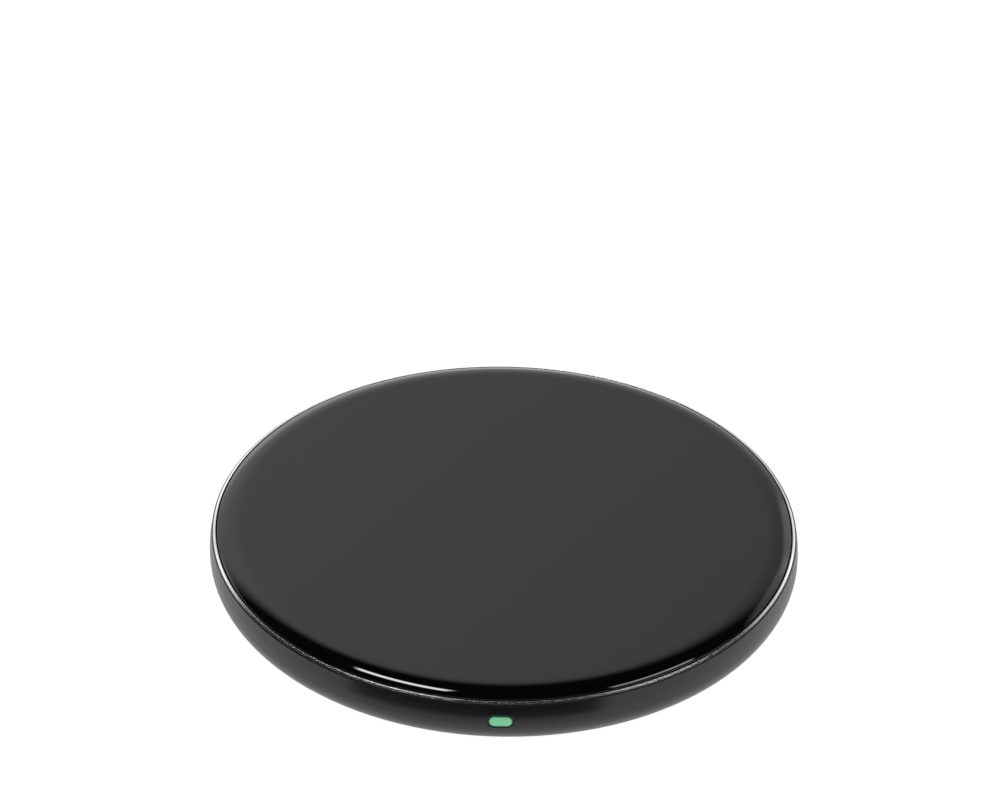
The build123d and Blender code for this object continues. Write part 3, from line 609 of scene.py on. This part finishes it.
# %% Finishes of the lamps and the guide
lamp_low, lamp_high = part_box("charge_leds")
material, tree, shader, place = new_finish("white_lamp_package", Roughness=0.3)
sides = add_node(tree, "ShaderNodeSeparateXYZ", {}, {0: place})
lens = add_node(tree, "ShaderNodeMapRange",
                {"From Min": (lamp_low.z + lamp_high.z) / 2, "From Max": lamp_high.z},
                {"Value": sides.outputs["Z"]})
speck = add_node(tree, "ShaderNodeTexNoise", {"Scale": per_metre(0.15)}, {"Vector": place})
package = add_node(tree, "ShaderNodeMix", two_tones("#D9D8D0", "#F2F1EA"), {0: speck.outputs["Fac"]})
tone = add_node(tree, "ShaderNodeMix", {"data_type": "RGBA", 7: linear("#9FD8B4")},
                {0: lens.outputs["Result"], 6: package.outputs[2]})
tree.links.new(tone.outputs[2], shader.inputs["Base Color"])
wear(nodes["charge_leds"], material)

material, tree, shader, place = new_finish("clear_moulded_acrylic", IOR=1.49, Transmission_Weight=0.9)
skin = add_node(tree, "ShaderNodeTexNoise", {"Scale": per_metre(1.5), "Detail": 2.0}, {"Vector": place})
shine = add_node(tree, "ShaderNodeMapRange", {"To Min": 0.03, "To Max": 0.1},
                 {"Value": skin.outputs["Fac"]})
tone = add_node(tree, "ShaderNodeMix", two_tones("#E6EEEA", "#F6FAF8"), {0: skin.outputs["Fac"]})
tree.links.new(tone.outputs[2], shader.inputs["Base Color"])
tree.links.new(shine.outputs["Result"], shader.inputs["Roughness"])
wear(nodes["light_guide"], material)

# %% [markdown]
# ## Floor and lamp
#
# The pad stands on a sheet of white acrylic that is lit from below, as on a product table, so it throws
# almost no shadow. One broad soft lamp hangs overhead. A strong lamp alone would leave a grey patch round
# the pad, and the light from below keeps the floor as pale close to the pad as it is far away. Reflections
# don't see the lamp, because the sky gives them lights of their own.

# %% Floor and overhead lamp
FLOOR_SIZE = 8.0
FLOOR_GLOW = 0.98
LAMP_HEIGHT = 1.2
LAMP_SIZE = 1.5
LAMP_POWER = 2.0

bpy.ops.object.select_all(action="DESELECT")
bpy.ops.mesh.primitive_plane_add(size=FLOOR_SIZE, location=(0, 0, 0))
floor = bpy.context.object
floor.name = "floor"
material, tree, shader, place = new_finish("backlit_opal_acrylic", Roughness=1.0, Specular_IOR_Level=0.0,
                                           Emission_Strength=FLOOR_GLOW)
cloud = add_node(tree, "ShaderNodeTexNoise", {"Scale": per_metre(2.0)}, {"Vector": place})
tone = add_node(tree, "ShaderNodeMix", two_tones("#FAFAFA", "#FFFFFF"), {0: cloud.outputs["Fac"]})
tree.links.new(tone.outputs[2], shader.inputs["Base Color"])
tree.links.new(tone.outputs[2], shader.inputs["Emission Color"])
wear(floor, material)

bpy.ops.object.light_add(type="AREA", location=(0, 0, LAMP_HEIGHT))
lamp = bpy.context.object
lamp.name = "overhead_lamp"
lamp.data.size = LAMP_SIZE
lamp.data.energy = LAMP_POWER
lamp.visible_glossy = False

# %% [markdown]
# ## Black card
#
# A black card stands close round the front of the pad. Only reflections see it, so it isn't in the
# picture. It puts a dark band along the top of the casing's front, so that the barrel shape reads and the
# green light stands out. It is a short tube with most of its faces deleted, so it follows the casing.

# %% Card in front
CARD_RADIUS = 62 * mm
CARD_HEIGHT = 17 * mm
CARD_START = 236
CARD_END = 293
CARD_FACES_ALL_ROUND = 180

bpy.ops.object.select_all(action="DESELECT")
bpy.ops.mesh.primitive_cylinder_add(vertices=CARD_FACES_ALL_ROUND, radius=CARD_RADIUS, depth=CARD_HEIGHT,
                                    location=(0, 0, CARD_HEIGHT / 2), end_fill_type="NOTHING")
card = bpy.context.object
card.name = "black_card"
bpy.ops.object.transform_apply(location=True)
bpy.ops.object.mode_set(mode="EDIT")
bpy.ops.mesh.select_mode(type="FACE")
bpy.ops.mesh.select_all(action="DESELECT")
bpy.ops.object.mode_set(mode="OBJECT")
for face in card.data.polygons:
    heading = math.degrees(math.atan2(face.center.y, face.center.x)) % 360
    face.select = not CARD_START < heading < CARD_END
bpy.ops.object.mode_set(mode="EDIT")
bpy.ops.mesh.delete(type="FACE")
bpy.ops.object.mode_set(mode="OBJECT")
for kind in ("camera", "diffuse", "transmission", "shadow"):
    setattr(card, "visible_" + kind, False)
material, tree, shader, place = new_finish("black_flock", Roughness=1.0, Specular_IOR_Level=0.0)
pile = add_node(tree, "ShaderNodeTexNoise", {"Scale": per_metre(0.5)}, {"Vector": place})
tone = add_node(tree, "ShaderNodeMix", two_tones("#0A0A0A", "#141414"), {0: pile.outputs["Fac"]})
tree.links.new(tone.outputs[2], shader.inputs["Base Color"])
wear(card, material)
print("card faces:", len(card.data.polygons))

# %% [markdown]
# ## Sky
#
# Glossy black shows its surroundings more than its own colour, so the sky has a second face that only
# reflections see: a white wall behind that grows brighter to the left, white light low down at its foot,
# a grey wall in front, black cloth overhead with two narrow strips in it, and a few soft boxes at the
# sides. Cards and boxes round the table would do the same. Drawing them on the sky keeps their edges soft.

# %% Soft-edged parts of the sky
RIGHT, BACK, UP = Vector((1, 0, 0)), Vector((0, 1, 0)), Vector((0, 0, 1))
OVERHEAD = (UP, 0.5, 0.7, 0.0, 1.0)

sky = bpy.data.worlds.new("studio_sky")
bpy.context.scene.world = sky
sky.use_nodes = True
tree = sky.node_tree
tree.nodes.clear()
toward = add_node(tree, "ShaderNodeTexCoord").outputs["Generated"]


def lit_area(*edges):
    """Each edge is (direction, start, end, first, last). How far a ray points along the direction runs
    from -1 to 1. Between start and end the brightness goes softly from first to last. Edges multiply."""
    light = None
    for direction, start, end, first, last in edges:
        reach = add_node(tree, "ShaderNodeVectorMath", {"operation": "DOT_PRODUCT", 1: direction},
                         {0: toward})
        edge = add_node(tree, "ShaderNodeMapRange",
                        {"interpolation_type": "SMOOTHSTEP", "From Min": start, "From Max": end,
                         "To Min": first, "To Max": last}, {"Value": reach.outputs["Value"]})
        if light is None:
            light = edge.outputs["Result"]
        else:
            both = {0: light, 1: edge.outputs["Result"]}
            light = add_node(tree, "ShaderNodeMath", {"operation": "MULTIPLY"}, both).outputs[0]
    return light


def soft_box(direction, reach, soft, brightness):
    """A round soft light in one direction. Its reach and its soft rim are angles in degrees."""
    rim, full = math.cos(math.radians(reach + soft)), math.cos(math.radians(reach))
    return lit_area((Vector(direction).normalized(), rim, full, 0.0, brightness))


def strip(length_axis, start, end, width_axis, near, far, soft, brightness):
    """A narrow light overhead. It runs from start to end along one axis and from near to far across it."""
    return lit_area((length_axis, start - soft, start, 0.0, brightness),
                    (length_axis, end, end + soft, 1.0, 0.0), (width_axis, near - soft, near, 0.0, 1.0),
                    (width_axis, far, far + soft, 1.0, 0.0), OVERHEAD)


# %% Walls, boxes and strips that reflections see
BLACK_CLOTH = 0.03

wall = lit_area((BACK, 0.51, 0.70, 0.0, 1.0), (RIGHT, -0.5, 0.4, 1.05, 0.48), (UP, 0.48, 0.66, 0.86, 1.0))
foot_of_wall = lit_area((UP, 0.17, 0.36, 1.5, 0.0), (BACK, -0.45, -0.1, 0.0, 1.0),
                        (RIGHT, -0.5, 0.1, 1.0, 0.4))
front_wall = lit_area((BACK, -0.6, -0.15, 0.75, 0.0), (UP, 0.15, 0.35, 0.0, 1.0))
right_box = soft_box((0.78, -0.2, 0.58), reach=14, soft=8, brightness=1.6)
right_rear_box = soft_box((0.64, 0.57, 0.52), reach=9, soft=5, brightness=0.65)
low_rear_box = soft_box((0.56, 0.75, 0.32), reach=8, soft=6, brightness=0.6)
left_rear_box = soft_box((-0.70, 0.55, 0.45), reach=7, soft=4, brightness=1.0)
left_strip = strip(length_axis=(0.88, -0.474, 0.0), start=-0.405, end=-0.215,
                   width_axis=(0.474, 0.88, 0.0), near=0.102, far=0.148, soft=0.025, brightness=16.0)
right_strip = strip(length_axis=(0.747, 0.664, 0.0), start=0.31, end=0.53,
                    width_axis=(-0.664, 0.747, 0.0), near=-0.115, far=-0.09, soft=0.02, brightness=5.0)

reflected = wall
for part in (foot_of_wall, front_wall):
    reflected = add_node(tree, "ShaderNodeMath", {"operation": "MAXIMUM"}, {0: reflected, 1: part}).outputs[0]
reflected = add_node(tree, "ShaderNodeMath", {"operation": "ADD", 1: BLACK_CLOTH}, {0: reflected}).outputs[0]
for part in (right_rear_box, right_box, low_rear_box, left_rear_box, left_strip, right_strip):
    reflected = add_node(tree, "ShaderNodeMath", {"operation": "ADD"}, {0: reflected, 1: part}).outputs[0]

# %% The sky's plain face and its reflected face
SKY_LIGHT = 0.05
SKY_SEEN = 1.0

rays = add_node(tree, "ShaderNodeLightPath")
plain = add_node(tree, "ShaderNodeMix", {2: SKY_LIGHT, 3: SKY_SEEN}, {0: rays.outputs["Is Camera Ray"]})
light_face = add_node(tree, "ShaderNodeBackground", {"Color": (1, 1, 1, 1)}, {"Strength": plain.outputs[0]})
gloss_face = add_node(tree, "ShaderNodeBackground", {"Color": (1, 1, 1, 1)}, {"Strength": reflected})
faces = add_node(tree, "ShaderNodeMixShader", {},
                 {0: rays.outputs["Is Glossy Ray"], 1: light_face.outputs[0], 2: gloss_face.outputs[0]})
add_node(tree, "ShaderNodeOutputWorld", {}, {"Surface": faces.outputs[0]})
bpy.context.scene.view_settings.view_transform = "Standard"
print("sky of", len(tree.nodes), "nodes")

# %% [markdown]
# ## Camera
#
# A long lens half a metre away looks down at about 36 degrees from straight in front. It aims at the pad's
# far edge, so the pad sits in the lower half of the picture, and it leans by about a degree.

# %% Camera
DISTANCE = 0.5
ELEVATION = math.radians(36.106)
LEAN = math.radians(0.969)
AIM = Vector((-1.2 * mm, 50.6 * mm, 0.0))
ORBIT_MIDDLE = Vector((0.0, 0.0, 0.6 * mm))
LENS = 104.74
SENSOR_WIDTH = 36.0

eye = ORBIT_MIDDLE + DISTANCE * Vector((0, -math.cos(ELEVATION), math.sin(ELEVATION)))
bpy.ops.object.camera_add(location=eye)
camera = bpy.context.object
camera.data.lens = LENS
camera.data.sensor_width = SENSOR_WIDTH
turn = (AIM - eye).to_track_quat("-Z", "Y").to_matrix() @ Matrix.Rotation(LEAN, 3, "Z")
camera.rotation_euler = turn.to_euler()
bpy.context.scene.camera = camera
print("camera at", [round(v, 4) for v in eye])
